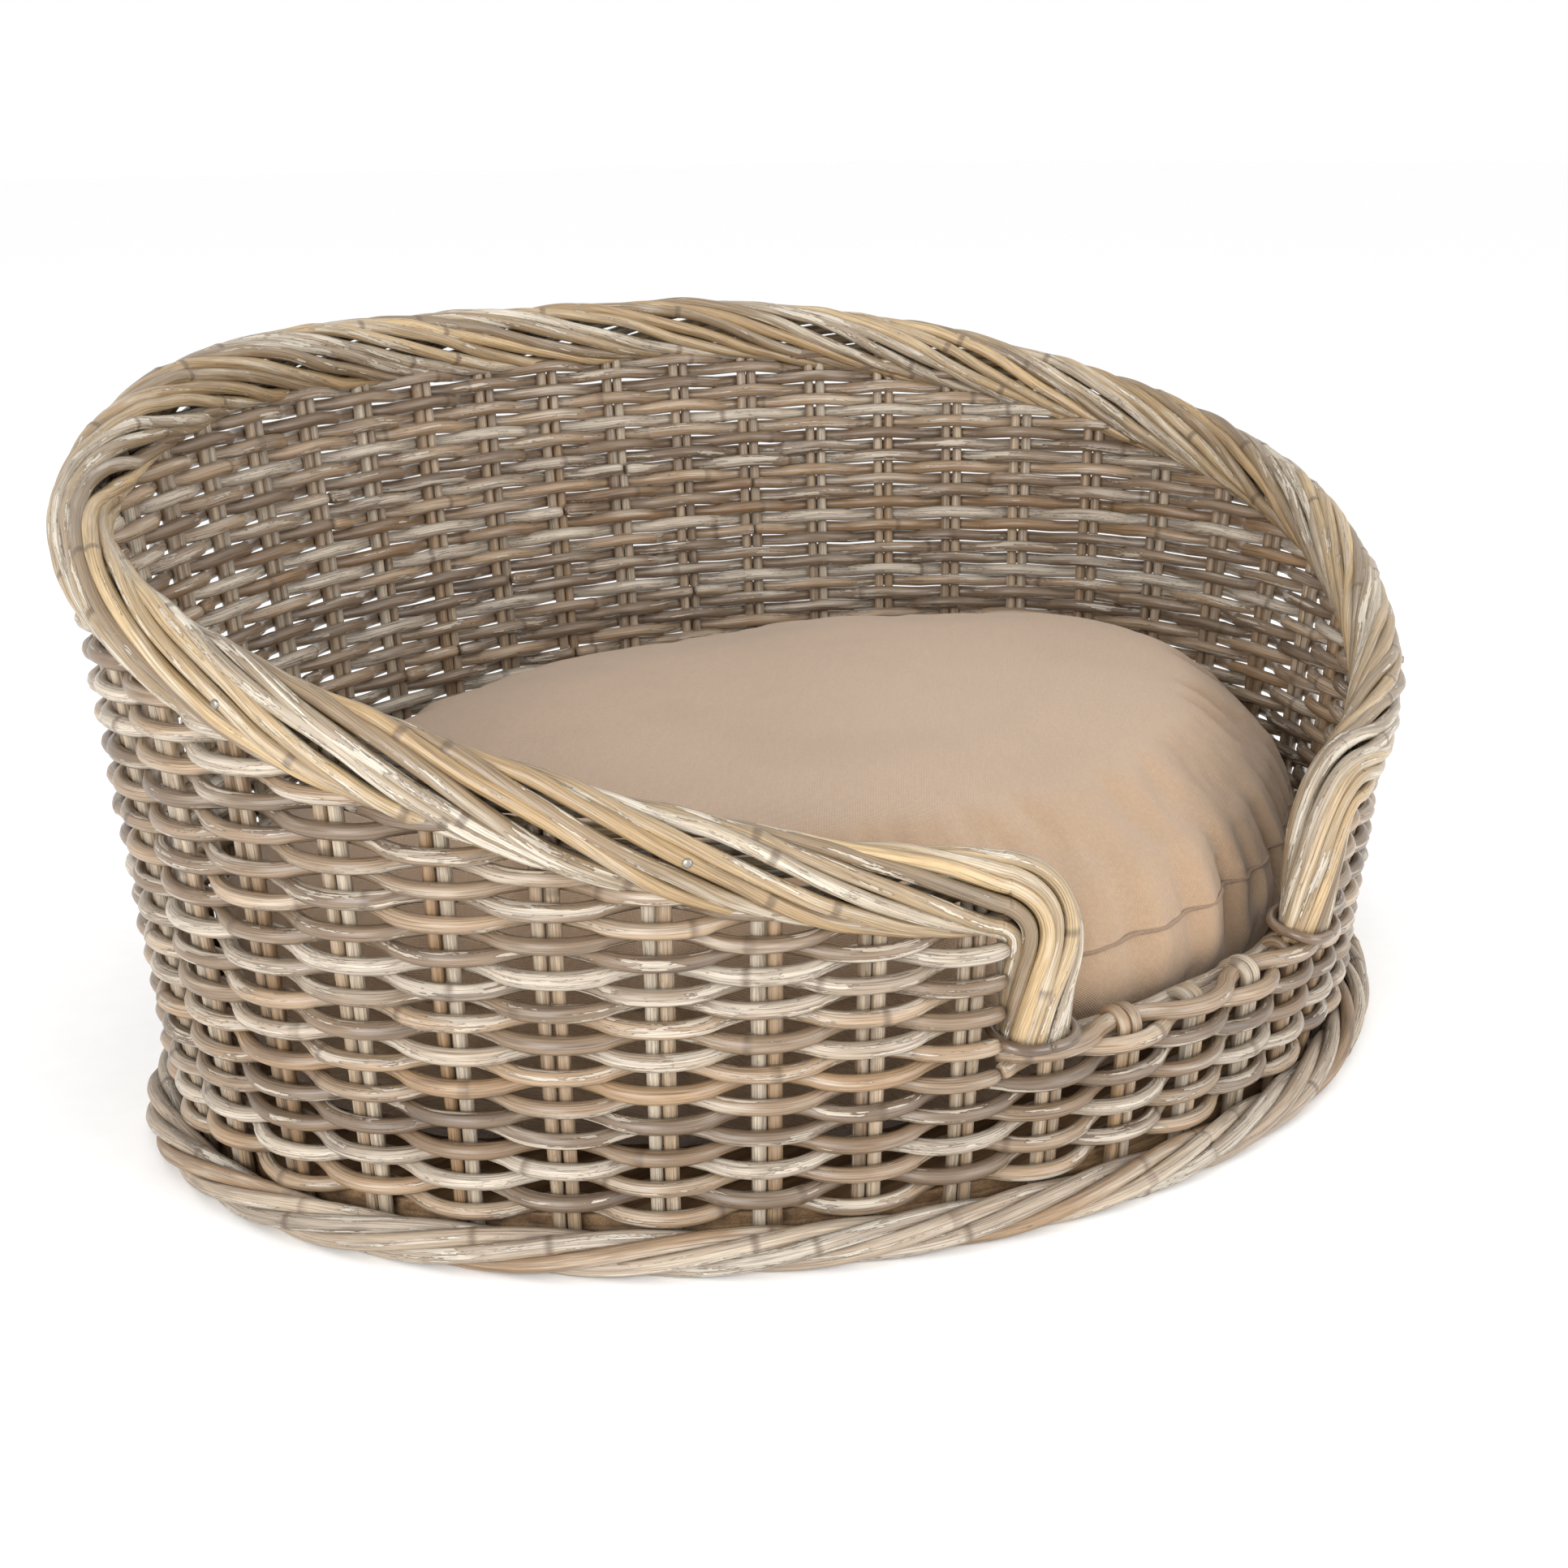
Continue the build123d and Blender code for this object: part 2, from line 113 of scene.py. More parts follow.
def wall(station, out, height):
    """Points and level outward directions on the wall, station counted in stake pairs."""
    station = np.asarray(station, float)
    run = np.mod(station, PAIRS) * PAIR
    k = np.clip(np.searchsorted(ARC_ENDS, run), 0, len(ARCS) - 1)
    start = np.concatenate([[0], ARC_ENDS])[k]
    cx, cy, r, a0, _ = ARCS[k].T
    a = a0 + (run - start) / r
    reach = r + out + FLARE * height
    normal = np.stack([np.cos(a), np.sin(a), 0 * a], -1)
    return np.stack([cx + reach * np.cos(a), cy + reach * np.sin(a), height + 0 * a], -1), normal


def rim_height(station):
    from_back = np.abs(np.mod(station, PAIRS) / (PAIRS / 2) - 1)
    share = np.clip((from_back - RIM_LEVEL) / (RIM_FALL - RIM_LEVEL), 0, 1)
    return RIM_FRONT + (RIM_BACK - RIM_FRONT) * (1 + np.cos(pi * share)) / 2


# ---- Rods as tubes ----
def wander(length, wave, size):
    """A smooth random line along a rod, given its distances."""
    total = np.zeros_like(length)
    for octave in (1.0, 2.3, 4.1):
        total += np.sin(2 * pi * length / wave * octave + rng.uniform(0, 2 * pi)) / octave
    return size * total / 1.6


def unit(v):
    return v / np.maximum(np.linalg.norm(v, axis=-1, keepdims=True), 1e-12)


def evenly(points, step):
    """Points every step or so along a line."""
    run = np.concatenate([[0], np.cumsum(np.linalg.norm(np.diff(points, axis=0), axis=1))])
    places = np.linspace(0, run[-1], max(int(run[-1] / step), 3))
    return np.stack([np.interp(places, run, points[:, i]) for i in range(points.shape[1])], -1)


class Rods:
    """Collects tubes into one mesh, with each rod's own frame and tone as attributes."""

    def __init__(self, name, sides=10):
        self.name, self.sides = name, sides
        self.verts, self.faces, self.fibre, self.tone = [], [], [], []
        self.count = 0

    def add(self, points, normals, radius, knots=0.22, rough=0.035, tone=None):
        tangent = unit(np.gradient(points, axis=0))
        across = unit(np.cross(tangent, normals))
        outward = np.cross(across, tangent)
        run = np.concatenate([[0], np.cumsum(np.linalg.norm(np.diff(points, axis=0), axis=1))])
        r = radius * (1 + wander(run, 0.09, rough))
        node = np.zeros_like(run)
        place = rng.uniform(0, knots)
        while knots and place < run[-1]:
            node = np.maximum(node, np.exp(-(((run - place) / 0.0032) ** 2)))
            place += rng.uniform(0.7, 1.4) * knots
        r = r * (1 + 0.10 * node)
        r[0] *= 0.86
        r[-1] *= 0.86
        turn = np.linspace(0, 2 * pi, self.sides, endpoint=False)
        c, s = np.cos(turn)[None, :, None], np.sin(turn)[None, :, None]
        ring = points[:, None] + r[:, None, None] * (outward[:, None] * c + across[:, None] * s)
        n, m = ring.shape[:2]
        seed = rng.uniform(0, 40)
        local = np.stack(np.broadcast_arrays(run[:, None] + seed, radius * c[..., 0], radius * s[..., 0]), -1)
        shade = tone if tone is not None else (rng.uniform(), rng.uniform())
        mark = np.stack(np.broadcast_arrays(shade[0], shade[1], node[:, None] + 0 * turn), -1)
        base = self.count
        grid = base + np.arange(n * m).reshape(n, m)
        nxt = np.roll(grid, -1, axis=1)
        quads = np.stack([grid[:-1], nxt[:-1], nxt[1:], grid[1:]], -1).reshape(-1, 4)
        tips = tangent * radius * 0.25
        self.verts += [ring.reshape(-1, 3), points[:1] - tips[:1], points[-1:] + tips[-1:]]
        self.fibre += [local.reshape(-1, 3), [[seed, 0, 0]], [[run[-1] + seed, 0, 0]]]
        self.tone += [mark.reshape(-1, 3), [[shade[0], shade[1], 0]] * 2]
        self.faces += quads.tolist()
        low, high = base + n * m, base + n * m + 1
        self.faces += [[int(low), int(b), int(a)] for a, b in zip(grid[0], nxt[0])]
        self.faces += [[int(high), int(a), int(b)] for a, b in zip(grid[-1], nxt[-1])]
        self.count += n * m + 2

    def build(self, material, nodes, body="basket"):
        mesh = bpy.data.meshes.new(self.name)
        mesh.from_pydata(np.concatenate(self.verts).tolist(), [], self.faces)
        for key, data in (("fibre", self.fibre), ("tone", self.tone)):
            layer = mesh.attributes.new(key, "FLOAT_VECTOR", "POINT")
            layer.data.foreach_set("vector", np.concatenate([np.asarray(d, float) for d in data]).ravel())
        mesh.polygons.foreach_set("use_smooth", [True] * len(mesh.polygons))
        mesh.materials.append(material)
        mesh.validate()
        piece = bpy.data.objects.new(self.name, mesh)
        bpy.context.scene.collection.objects.link(piece)
        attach(piece, body)
        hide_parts(*nodes)
        return piece


# ---- Materials ----
class Graph:
    """Short names for the nodes of one material."""

    def __init__(self, name):
        self.mat = bpy.data.materials.new(name)
        self.mat.use_nodes = True
        self.nodes, self.links = self.mat.node_tree.nodes, self.mat.node_tree.links
        self.shader = self.nodes["Principled BSDF"]

    def put(self, socket, value):
        if isinstance(value, bpy.types.NodeSocket):
            self.links.new(value, socket)
        else:
            socket.default_value = value

    def attribute(self, name):
        node = self.nodes.new("ShaderNodeAttribute")
        node.attribute_name = name
        return node.outputs["Vector"]

    def place(self):
        return self.nodes.new("ShaderNodeTexCoord").outputs["Object"]

    def split(self, vector):
        node = self.nodes.new("ShaderNodeSeparateXYZ")
        self.put(node.inputs[0], vector)
        return node.outputs

    def scale(self, vector, by):
        node = self.nodes.new("ShaderNodeVectorMath")
        node.operation = "MULTIPLY"
        self.put(node.inputs[0], vector)
        node.inputs[1].default_value = by
        return node.outputs[0]

    def noise(self, vector, scale=1.0, detail=3.0, rough=0.55):
        node = self.nodes.new("ShaderNodeTexNoise")
        self.put(node.inputs["Vector"], vector)
        node.inputs["Scale"].default_value = scale
        node.inputs["Detail"].default_value = detail
        node.inputs["Roughness"].default_value = rough
        return node.outputs["Fac"]

    def ramp(self, value, low, high, start=0.0, end=1.0):
        node = self.nodes.new("ShaderNodeMapRange")
        node.interpolation_type = "SMOOTHSTEP"
        keys = ("Value", "From Min", "From Max", "To Min", "To Max")
        for key, v in zip(keys, (value, low, high, start, end)):
            self.put(node.inputs[key], v)
        return node.outputs["Result"]

    def math(self, kind, a, b=0.0):
        node = self.nodes.new("ShaderNodeMath")
        node.operation = kind
        self.put(node.inputs[0], a)
        self.put(node.inputs[1], b)
        return node.outputs[0]

    def mix(self, share, a, b, kind="MIX"):
        node = self.nodes.new("ShaderNodeMix")
        node.data_type, node.blend_type = "RGBA", kind
        self.put(node.inputs[0], share)
        self.put(node.inputs[6], a)
        self.put(node.inputs[7], b)
        return node.outputs[2]

    def bump(self, height, depth, strength=1.0):
        node = self.nodes.new("ShaderNodeBump")
        node.inputs["Strength"].default_value = strength
        node.inputs["Distance"].default_value = depth
        self.put(node.inputs["Height"], height)
        return node.outputs["Normal"]

    def finish(self, colour, rough, normal, **constant):
        self.put(self.shader.inputs["Base Color"], colour)
        self.put(self.shader.inputs["Roughness"], rough)
        self.put(self.shader.inputs["Normal"], normal)
        for key, value in constant.items():
            self.shader.inputs[key.replace("_", " ")].default_value = value
        return self.mat


def srgb(r, g, b):
    """A linear colour from 0 to 255 display values."""
    return [((v / 255 + 0.055) / 1.055) ** 2.4 if v > 10 else v / 3295 for v in (r, g, b)] + [1.0]


def rattan(name, dark, middle, light, warm, pale=0.12, stain=0.5, peel=0.8, rough=(0.26, 0.55), coat=0.25):
    """Rattan with its skin on: fibre streaks, stains, torn skin, node rings and one tone per rod."""
    g = Graph(name)
    fibre, tone = g.attribute("fibre"), g.split(g.attribute("tone"))
    streak = g.noise(g.scale(fibre, (16, 1300, 1300)), detail=4)
    fine = g.noise(g.scale(fibre, (80, 4200, 4200)), detail=2)
    cloud = g.noise(g.scale(fibre, (13, 120, 120)), detail=3)
    edge = g.noise(g.scale(fibre, (260, 900, 900)), detail=2)
    torn = g.math("ADD", g.noise(g.scale(fibre, (20, 260, 260)), detail=3), g.math("MULTIPLY", edge, 0.16))
    torn = g.math("ADD", torn, g.math("MULTIPLY", g.math("SUBTRACT", tone[1], 0.5), 0.20))
    bare = g.ramp(torn, 0.66, 0.68, 0.0, 1.0)
    colour = g.mix(g.ramp(tone[0], 0.0, 1.0), dark, middle)
    colour = g.mix(g.ramp(tone[1], 0.28, 0.0, 0.0, 0.6), colour, warm)
    colour = g.mix(g.ramp(tone[1], 1 - 2 * pale, 1.0, 0.0, 0.75), colour, light)
    colour = g.mix(g.ramp(cloud, 0.52, 0.72, 0.0, 0.55), colour, light)
    colour = g.mix(g.ramp(cloud, 0.42, 0.28, 0.0, stain), colour, srgb(62, 58, 58))
    colour = g.mix(g.ramp(torn, 0.635, 0.66, 0.0, 0.7 * peel), colour, srgb(52, 42, 34))
    colour = g.mix(g.math("MULTIPLY", bare, peel), colour, light)
    colour = g.mix(g.ramp(streak, 0.30, 0.62, 0.60, 0.0), colour, srgb(70, 54, 40))
    colour = g.mix(g.ramp(fine, 0.35, 0.6, 0.30, 0.0), colour, srgb(54, 42, 32))
    colour = g.mix(g.ramp(tone[2], 0.3, 0.95, 0.0, 0.6), colour, srgb(74, 56, 40))
    gloss = g.math("ADD", g.ramp(streak, 0.3, 0.75, *rough), g.math("MULTIPLY", bare, 0.25))
    relief = g.math("SUBTRACT", g.math("MULTIPLY", streak, 0.7), g.math("MULTIPLY", bare, 0.4))
    return g.finish(colour, gloss, g.bump(relief, 0.0007, 0.6), Coat_Weight=coat, Coat_Roughness=0.28)


def plank_wood(name):
    g = Graph(name)
    p = g.place()
    grain = g.noise(g.scale(p, (6, 120, 120)), detail=5)
    pore = g.noise(g.scale(p, (60, 1400, 1400)), detail=2)
    colour = g.mix(g.ramp(grain, 0.3, 0.7), srgb(112, 84, 58), srgb(168, 134, 96))
    colour = g.mix(g.ramp(pore, 0.35, 0.6, 0.4, 0.0), colour, srgb(70, 52, 36))
    return g.finish(colour, g.ramp(grain, 0.3, 0.7, 0.5, 0.72), g.bump(pore, 0.0004, 0.5))


def twill(name, base, shade_and_soil, wale=620.0):
    """A plain-dyed twill: diagonal wales and yarn slubs, with painted shade in their grooves, and faint
    soiling.
    """
    g = Graph(name)
    p = g.place()
    x, y, z = g.split(p)[:3]
    lean = g.math("ADD", g.math("ADD", x, g.math("MULTIPLY", y, 0.8)), g.math("MULTIPLY", z, 1.3))
    wave = g.math("SINE", g.math("MULTIPLY", lean, 2 * pi * wale))
    cross = g.math("ADD", g.math("SUBTRACT", x, g.math("MULTIPLY", y, 1.1)), g.math("MULTIPLY", z, 0.7))
    yarn = g.math("SINE", g.math("MULTIPLY", cross, 2 * pi * wale * 0.8))
    slub = g.noise(g.scale(p, (420, 420, 420)), detail=3)
    soil = g.noise(g.scale(p, (9, 9, 9)), detail=4)
    cloth = g.math("ADD", g.math("MULTIPLY", wave, 0.5), g.math("MULTIPLY", yarn, 0.25))
    # Painted shade: the grooves between the wales are darkened, following the relief that also feeds the
    # bump.
    colour = g.mix(g.ramp(cloth, -0.7, 0.5, 0.45, 0.0), base, shade_and_soil)
    # Painted shade: the low spots of the slub relief are darkened too.
    colour = g.mix(g.ramp(slub, 0.35, 0.7, 0.3, 0.0), colour, shade_and_soil)
    colour = g.mix(g.ramp(soil, 0.42, 0.7, 0.0, 0.22), colour, shade_and_soil)
    relief = g.math("ADD", cloth, slub)
    gloss = g.ramp(slub, 0.3, 0.7, 0.78, 0.92)
    return g.finish(colour, gloss, g.bump(relief, 0.00035, 0.6), Sheen_Weight=0.25, Sheen_Roughness=0.5)


def metal(name, tint, rough):
    g = Graph(name)
    brushed = g.noise(g.scale(g.place(), (300, 2600, 2600)), detail=2)
    colour = g.mix(g.ramp(brushed, 0.3, 0.7, 0.0, 0.35), tint, srgb(120, 116, 110))
    gloss = g.ramp(brushed, 0.3, 0.7, rough, rough + 0.15)
    return g.finish(colour, gloss, g.bump(brushed, 0.0001, 0.3), Metallic=1.0)


WARM = srgb(152, 118, 80)
WEAVER = rattan(
    "rattan_weaver",
    srgb(118, 99, 80),
    srgb(168, 143, 115),
    srgb(205, 193, 175),
    WARM,
    pale=0.16,
)
STAKE = rattan(
    "rattan_stake",
    srgb(134, 112, 88),
    srgb(178, 154, 126),
    srgb(206, 194, 174),
    WARM,
    peel=0.3,
)
BORDER = rattan(
    "rattan_border",
    srgb(136, 116, 90),
    srgb(194, 168, 128),
    srgb(218, 208, 190),
    srgb(196, 162, 110),
    pale=0.2,
    stain=0.35,
)
FOOT = rattan(
    "rattan_foot",
    srgb(142, 126, 108),
    srgb(184, 167, 146),
    srgb(210, 201, 186),
    WARM,
    pale=0.3,
    rough=(0.45, 0.75),
    coat=0.0,
)
CANE = rattan(
    "cane_binding",
    srgb(92, 72, 54),
    srgb(124, 98, 74),
    srgb(168, 146, 118),
    WARM,
    stain=0.2,
    peel=0.0,
    rough=(0.14, 0.3),
    coat=0.7,
)
# The second twill colour is painted shade in the weave's grooves and also the colour of the soiling, here and
# in the seam and zip tape.
CLOTH = twill("cushion_twill", srgb(175, 147, 119), srgb(140, 113, 87))
PIPING = twill("cushion_seam", srgb(150, 122, 96), srgb(112, 88, 66), 900.0)


# ---- Wall ----
def course_limits(height):
    """Where a course above the sill starts, at the entry or just inside the rim border."""
    station = SIDE_START
    while rim_height(station) - 0.002 < height + WEAVER_R:
        station += 0.01
    return station, PAIRS - station


def make_wall():
    for low in range(0, COURSES, 2):
        rods = Rods(f"weave_{low + 1:02d}_{low + 2:02d}")
        last_course = COURSES if low == COURSES - 2 else low + 1
        for course in range(low, last_course + 1):
            height = FIRST_Z + course * PITCH_Z
            whole = course < UNDER_ENTRY
            start, end = (0.0, float(PAIRS)) if whole else course_limits(height)
            if whole:
                shift = float((course + 1) % 2 + 2 * rng.integers(0, 20))
                start, end = shift, shift + PAIRS
            cuts = [start]
            place = start + rng.uniform(8, 24)
            while place < end - 6:
                cut = float(int(place))
                cut += 1.0 if (int(cut) + course) % 2 == 0 else 0.0
                cuts.append(cut)
                place = cut + rng.uniform(16, 30)
            cuts.append(end)
            for first, last in zip(cuts, cuts[1:]):
                gap_low = 0.02 if first != start or whole else 0.0
                gap_high = 0.02 if last != end or whole else 0.0
                s = np.arange(first + gap_low, last - gap_high, 1 / 14)
                run = s * PAIR
                phase = pi * (s + course)
                wave = np.cos(phase)
                out = SWING * np.sign(wave) * np.abs(wave) ** 0.85 * (1 + wander(run, 0.21, 0.06))
                dip = wander(run, 0.31, 0.0005) + 0.0004 * np.cos(2 * phase)
                points, normals = wall(s, out, height + dip)
                points[:, 2] -= WEAVE_LEAN * out
                rods.add(points, normals, WEAVER_R * rng.uniform(0.93, 1.06), knots=0.24)
        rods.build(WEAVER, [f"weave_courses_{low + 1:02d}_{low + 2:02d}"])


def make_stakes():
    groups = {"right": range(3, 13), "back": range(13, 32), "left": range(32, 42)}
    for name, pairs in groups.items():
        rods = Rods(f"stakes_{name}")
        for pair in pairs:
            for side in (-1, 1):
                s = pair + side * STAKE_HALF / PAIR
                top = float(rim_height(s)) - 0.004
                z = np.linspace(0.003, top, max(int(top / 0.006), 8))
                out = wander(z, 0.2, 0.0004)
                points, normals = wall(s + wander(z, 0.27, 0.0004) / PAIR, out, z)
                rods.add(points, normals, STAKE_R * rng.uniform(0.93, 1.06), knots=0.3)
        rods.build(STAKE, [f"stake_pairs_{name}"])
    rods = Rods("stakes_entry", sides=12)
    for pair in range(-2, 3):
        height = SILL_LOOP_Z + (0.0 if pair % 2 == 0 else 0.0022)
        for side in (-1, 1):
            s = pair + side * STAKE_HALF / PAIR
            up = np.linspace(0.003, height, 24)
            bend = np.linspace(0, pi, 18)[1:]
            tail = np.linspace(height, height - 0.011, 5)[1:]
            z = np.concatenate([up, height + LOOP_R * np.sin(bend), tail])
            out = np.concatenate([0 * up, LOOP_R * (np.cos(bend) - 1), 0 * tail - 2 * LOOP_R])
            points, normal = wall(np.full_like(z, s), out, z)
            sideways = np.cross(normal, [0, 0, 1.0])
            rods.add(points, np.cross(unit(np.gradient(points, axis=0)), sideways), STAKE_R, knots=0.3)
    rods.build(STAKE, ["stake_pairs_entry"])


def make_sill():
    """The sill's plaited rods: two that swap sides between the pairs, and one under the stakes' loops."""
    rods = Rods("sill_rods", sides=12)
    s = np.linspace(-2.62, 2.62, 110)
    for lift, turn, thick, tone in ((0.0, 0, 1.05, (0.8, 0.4)), (0.0076, 1, 1.12, (0.6, 0.35))):
        wave = np.cos(pi * (s + UNDER_ENTRY + turn))
        out = (SWING + 0.0006) * np.sign(wave) * np.abs(wave) ** 0.85
        points, normals = wall(s, out, SILL_Z + lift + 0 * s)
        rods.add(points, normals, WEAVER_R * thick, tone=tone)
    s = np.linspace(-2.3, 2.3, 80)
    for out, lift, tone in ((-LOOP_R, 0.0020, (0.4, 0.4)), (-0.0150, 0.0045, (0.7, 0.8))):
        out = out + wander(s * PAIR, 0.11, 0.0008)
        z = SILL_Z + lift + wander(s * PAIR, 0.13, 0.0007)
        points, normals = wall(s, out, z)
        rods.add(points, normals, WEAVER_R, tone=tone)
    rods.build(WEAVER, ["sill_rod", "sill_top_rod"])


# ---- Borders ----
def border_line():
    """The border's middle line with rounded entry corners, and its outward directions."""
    s = np.arange(ENTRY, PAIRS - ENTRY, 0.05)
    s = np.append(s, PAIRS - ENTRY)
    rim, _ = wall(s, 0, rim_height(s))
    run = np.concatenate([[0], np.cumsum(np.linalg.norm(np.diff(rim, axis=0), axis=1))])
    keep = (run > BORDER_CORNER) & (run < run[-1] - BORDER_CORNER)
    t = np.linspace(0, 1, 16)[:, None]
    legs = []
    for station, corner, after in (
        (ENTRY, rim[0], rim[keep][0]),
        (PAIRS - ENTRY, rim[-1], rim[keep][-1]),
    ):
        z = np.linspace(BORDER_FOOT, corner[2] - BORDER_CORNER, 16)
        leg, _ = wall(np.full_like(z, station), 0, z)
        bend = (1 - t) ** 2 * leg[-1] + 2 * t * (1 - t) * corner + t**2 * after
        legs.append((np.concatenate([leg, bend[1:-1]]), np.full(len(leg) + 14, station)))
    line = np.concatenate([legs[0][0], rim[keep], legs[1][0][::-1]])
    station = np.concatenate([legs[0][1], s[keep], legs[1][1][::-1]])
    even = evenly(np.column_stack([line, station]), 0.0038)
    _, normals = wall(even[:, 3], 0, 0)
    return even[:, :3], normals


def make_rim():
    line, normals = border_line()
    tangent = unit(np.gradient(line, axis=0))
    below = unit(np.cross(tangent, normals))
    run = np.concatenate([[0], np.cumsum(np.linalg.norm(np.diff(line, axis=0), axis=1))])
    end = np.minimum(run, run[-1] - run)
    slim = 1 - 0.22 * np.clip(1 - end / 0.06, 0, 1)
    rods = Rods("rim_border", sides=12)
    for strand in range(BORDER_STRANDS):
        turn = 2 * pi * strand / BORDER_STRANDS + TWIST / PAIR * run + wander(run, 0.34, 0.15)
        swell = 1 + wander(run, 0.16, 0.085)
        points = line + normals * (BORDER_A * slim * swell * np.cos(turn))[:, None]
        points = points + below * (BORDER_B * slim * swell * np.sin(turn))[:, None]
        face = normals * np.cos(turn)[:, None] + below * np.sin(turn)[:, None]
        rods.add(points, face, BORDER_R * rng.uniform(0.93, 1.05), knots=0.26)
    rods.build(BORDER, [f"rim_border_strand_{k}" for k in range(1, 9)] + ["rim_hoop"])
    return line, normals, below, run


def make_nails(line, normals, below, run):
    """Small domed heads on the crest of an outer strand."""
    verts, faces = [], []
    for share in np.linspace(0.09, 0.91, NAIL_COUNT):
        i = int(share * (len(line) - 1))
        turn = TWIST / PAIR * run[i]
        step = 2 * pi / BORDER_STRANDS
        offset = (turn + step / 2) % step - step / 2
        crest = BORDER_A * cos(offset) + BORDER_R
        seat = line[i] + normals[i] * (crest - 0.0004) + below[i] * BORDER_B * sin(offset)
        along = np.cross(normals[i], below[i])
        base = len(verts)
        for lift, radius in NAIL_RINGS:
            for a in np.linspace(0, 2 * pi, NAIL_POINTS, endpoint=False):
                verts.append(seat + normals[i] * lift + (below[i] * cos(a) + along * sin(a)) * radius)
        verts.append(seat + normals[i] * NAIL_CROWN)
        n, last = NAIL_POINTS, (len(NAIL_RINGS) - 1) * NAIL_POINTS
        for ring in range(0, last, n):
            for k in range(n):
                a, b = base + ring + k, base + ring + (k + 1) % n
                faces.append([a, b, b + n, a + n])
        faces += [[base + last + k, base + last + (k + 1) % n, base + last + n] for k in range(n)]
        faces.append([base + k for k in range(n - 1, -1, -1)])
    mesh = bpy.data.meshes.new("nail_heads")
    mesh.from_pydata([tuple(v) for v in verts], [], faces)
    mesh.polygons.foreach_set("use_smooth", [True] * len(mesh.polygons))
    mesh.materials.append(metal("nail_steel", srgb(150, 146, 138), 0.35))
    piece = bpy.data.objects.new("nail_heads", mesh)
    bpy.context.scene.collection.objects.link(piece)
    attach(piece, "basket")
    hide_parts("border_nails")


def make_bindings():
    """One thick loop of cane, slightly slack and tilted, round each turned-down end of the border."""
    for name, station in (("right", ENTRY), ("left", PAIRS - ENTRY)):
        rods = Rods(f"binding_{name}", sides=14)
        a = np.linspace(0, 2 * pi, 120)
        wide, deep = BORDER_B * 0.8 + BORDER_R + 0.0022, BORDER_A * 0.8 + BORDER_R + 0.0024
        across = deep * np.sign(np.cos(a)) * np.abs(np.cos(a)) ** 0.75
        along = wide * np.sign(np.sin(a)) * np.abs(np.sin(a)) ** 0.75
        z = BINDING_Z - BINDING_TILT * np.cos(a)
        points, normals = wall(station + along / PAIR, across, z)
        middle, _ = wall(np.full_like(a, station), 0, z)
        rods.add(points, unit(points - middle), BINDING_R, knots=0, rough=0.02)
        rods.build(CANE, [f"end_binding_{name}"])


def make_foot():
    rods = Rods("foot_border", sides=12)
    s = np.arange(0, PAIRS + 0.01, 1 / 12)
    run = s * PAIR
    for strand in range(FOOT_STRANDS):
        turn = 2 * pi * strand / FOOT_STRANDS + 2 * pi * FOOT_TURNS / PAIRS * s
        grow = np.sin(pi * s / PAIRS) ** 0.2
        wobble = 1 + grow * wander(run, 0.3, 0.04)
        out = FOOT_OUT + FOOT_ROPE_R * wobble * np.cos(turn)
        z = np.maximum(FOOT_Z + FOOT_ROPE_R * wobble * np.sin(turn), 0.0047)
        points, normals = wall(s, out, z)
        rods.add(points, normals, FOOT_R * rng.uniform(0.96, 1.03), knots=0.2, rough=0.02)
    rods.build(FOOT, [f"foot_border_strand_{k}" for k in range(1, 6)])


# ---- Cushion ----
def outline(inset, height, count=220):
    s = np.linspace(0, PAIRS, count, endpoint=False)
    points, normals = wall(s, -inset - FLARE * height, height)
    return points, normals


def cushion_shape():
    """A closed start shape a little inside the CAD cushion."""
    low, high = COVER_LOW[2] + 0.003, COVER_HIGH[2] - 0.013
    profile = ((0, 0.080), (0.07, 0.047), (0.3, 0.032), (0.6, 0.029), (0.8, 0.044), (0.94, 0.090), (1, 0.180))
    rings = [outline(inset, low + share * (high - low))[0] for share, inset in profile]
    n = len(rings[0])
    verts = np.concatenate(rings + [[[0, -0.01, low]], [[0, -0.01, high + 0.004]]])
    faces = []
    for r in range(len(rings) - 1):
        for k in range(n):
            a, b = r * n + k, r * n + (k + 1) % n
            faces.append([a, b, b + n, a + n])
    top = (len(rings) - 1) * n
    faces += [[(k + 1) % n, k, len(verts) - 2] for k in range(n)]
    faces += [[top + k, top + (k + 1) % n, len(verts) - 1] for k in range(n)]
    return verts, faces


SEAM_Z, SEAM_R = 0.126, 0.0013
CUSHION_TILT = 0.028  # the filling has settled higher at the +X end
CUSHION_MESH = 0.006
CLOTH_FRAMES, CLOTH_REACH = 20, 0.014
# Tucks at the seam: their angle round the cushion and their depth.
FOLDS = (
    (-1.02, 0.9),
    (-0.90, 0.7),
    (-1.14, 0.7),
    (-1.33, 1.1),
    (-1.25, 0.7),
    (-1.46, 0.6),
    (-1.8, 0.6),
    (-2.3, 0.5),
)


def sink_placket(mesh):
    """Presses the underside in round the zip, so that its tape lies at the bottom of a shallow channel."""
    low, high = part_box("zip_tape")
    margin = 0.004
    for vertex in mesh.vertices:
        x, y, z = vertex.co
        inside = low[0] - margin < x < high[0] + margin and low[1] - margin < y < high[1] + margin
        if inside and z < high[2] + 0.004:
            vertex.co.z = high[2] + 0.0003


